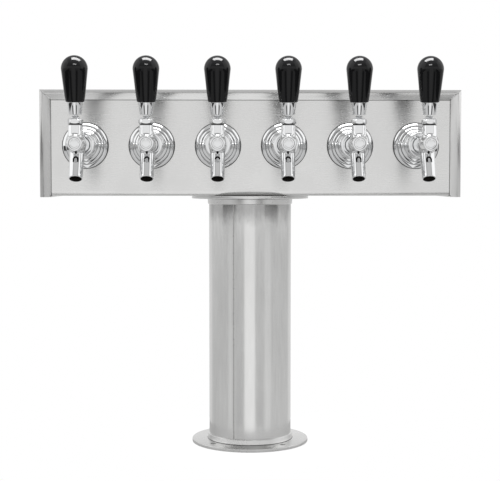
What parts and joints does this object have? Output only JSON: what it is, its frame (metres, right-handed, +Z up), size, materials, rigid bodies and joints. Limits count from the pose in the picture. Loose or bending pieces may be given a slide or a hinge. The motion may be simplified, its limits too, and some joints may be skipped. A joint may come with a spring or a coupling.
{
  "type": "beer tap tower",
  "caption": "T-shaped beer dispensing tower: a round flanged column carries a wide brushed steel head with a row of lever faucets that open as their handles are pulled forward.",
  "frame": {"origin": "column axis at the underside of the base flange", "axes": "+Z up, faucets point along -Y, +X to the right seen from the front"},
  "size_m": [0.502, 0.2497, 0.4631],
  "materials": {
    "brushed_head": "horizontal brushed grain",
    "brushed_column": "vertical satin grain",
    "plain_steel": "plain turned steel",
    "chrome": "polished chrome plate",
    "brass": "turned brass",
    "black_plastic": "moulded high gloss",
    "nylon": "natural",
    "vinyl": "milky hose",
    "foam": "closed-cell foam",
    "rubber": "moulded"
  },
  "bodies": {
    "tower": {"base_flange": "brushed_column", "column_tube": "brushed_column", "column_insulation": "foam", "neck_flange": "brushed_column", "neck_bolts": "plain_steel", "neck_washers": "plain_steel", "head_tray": "brushed_head", "head_hood": "brushed_head", "rear_cover": "brushed_head", "rear_cover_screws": "plain_steel", "hood_screws": "plain_steel", "bell_flanges": "chrome", "coupling_nuts": "chrome", "shanks": "brass", "shank_washers": "plain_steel", "shank_nuts": "brass", "tailpieces": "plain_steel", "tail_nuts": "brass", "beer_lines": "vinyl", "front_plugs": "chrome", "bonnets": "chrome", "friction_washers": "nylon", "faucet_seals": "rubber", "faucet_body_1": "chrome", "faucet_body_2": "chrome", "faucet_body_3": "chrome", "faucet_body_4": "chrome", "faucet_body_5": "chrome", "faucet_body_6": "chrome"},
    "handle_1": {"lever_1": "chrome", "ferrule_1": "chrome", "knob_1": "black_plastic"},
    "valve_1": {"valve_shaft_1": "plain_steel", "seat_washer_1": "rubber"},
    "handle_2": {"lever_2": "chrome", "ferrule_2": "chrome", "knob_2": "black_plastic"},
    "valve_2": {"valve_shaft_2": "plain_steel", "seat_washer_2": "rubber"},
    "handle_3": {"lever_3": "chrome", "ferrule_3": "chrome", "knob_3": "black_plastic"},
    "valve_3": {"valve_shaft_3": "plain_steel", "seat_washer_3": "rubber"},
    "handle_4": {"lever_4": "chrome", "ferrule_4": "chrome", "knob_4": "black_plastic"},
    "valve_4": {"valve_shaft_4": "plain_steel", "seat_washer_4": "rubber"},
    "handle_5": {"lever_5": "chrome", "ferrule_5": "chrome", "knob_5": "black_plastic"},
    "valve_5": {"valve_shaft_5": "plain_steel", "seat_washer_5": "rubber"},
    "handle_6": {"lever_6": "chrome", "ferrule_6": "chrome", "knob_6": "black_plastic"},
    "valve_6": {"valve_shaft_6": "plain_steel", "seat_washer_6": "rubber"}
  },
  "joints": [
    {"name": "handle_1_tilt", "type": "hinge", "parent": "tower", "child": "handle_1", "pos_m": [-0.19625, -0.15795, 0.3919], "axis": [1, 0, 0], "range_deg": [0, 30]},
    {"name": "valve_1_slide", "type": "slide", "parent": "tower", "child": "valve_1", "axis": [0, 1, 0], "range_m": [0, 0.0125]},
    {"name": "handle_2_tilt", "type": "hinge", "parent": "tower", "child": "handle_2", "pos_m": [-0.11775, -0.15795, 0.3919], "axis": [1, 0, 0], "range_deg": [0, 30]},
    {"name": "valve_2_slide", "type": "slide", "parent": "tower", "child": "valve_2", "axis": [0, 1, 0], "range_m": [0, 0.0125]},
    {"name": "handle_3_tilt", "type": "hinge", "parent": "tower", "child": "handle_3", "pos_m": [-0.03925, -0.15795, 0.3919], "axis": [1, 0, 0], "range_deg": [0, 30]},
    {"name": "valve_3_slide", "type": "slide", "parent": "tower", "child": "valve_3", "axis": [0, 1, 0], "range_m": [0, 0.0125]},
    {"name": "handle_4_tilt", "type": "hinge", "parent": "tower", "child": "handle_4", "pos_m": [0.03925, -0.15795, 0.3919], "axis": [1, 0, 0], "range_deg": [0, 30]},
    {"name": "valve_4_slide", "type": "slide", "parent": "tower", "child": "valve_4", "axis": [0, 1, 0], "range_m": [0, 0.0125]},
    {"name": "handle_5_tilt", "type": "hinge", "parent": "tower", "child": "handle_5", "pos_m": [0.11775, -0.15795, 0.3919], "axis": [1, 0, 0], "range_deg": [0, 30]},
    {"name": "valve_5_slide", "type": "slide", "parent": "tower", "child": "valve_5", "axis": [0, 1, 0], "range_m": [0, 0.0125]},
    {"name": "handle_6_tilt", "type": "hinge", "parent": "tower", "child": "handle_6", "pos_m": [0.19625, -0.15795, 0.3919], "axis": [1, 0, 0], "range_deg": [0, 30]},
    {"name": "valve_6_slide", "type": "slide", "parent": "tower", "child": "valve_6", "axis": [0, 1, 0], "range_m": [0, 0.0125]}
  ],
  "couplings": [
    {"joint": "valve_1_slide", "follows": "handle_1_tilt", "m_per_rad": 0.0236},
    {"joint": "valve_2_slide", "follows": "handle_2_tilt", "m_per_rad": 0.0236},
    {"joint": "valve_3_slide", "follows": "handle_3_tilt", "m_per_rad": 0.0236},
    {"joint": "valve_4_slide", "follows": "handle_4_tilt", "m_per_rad": 0.0236},
    {"joint": "valve_5_slide", "follows": "handle_5_tilt", "m_per_rad": 0.0236},
    {"joint": "valve_6_slide", "follows": "handle_6_tilt", "m_per_rad": 0.0236}
  ]
}
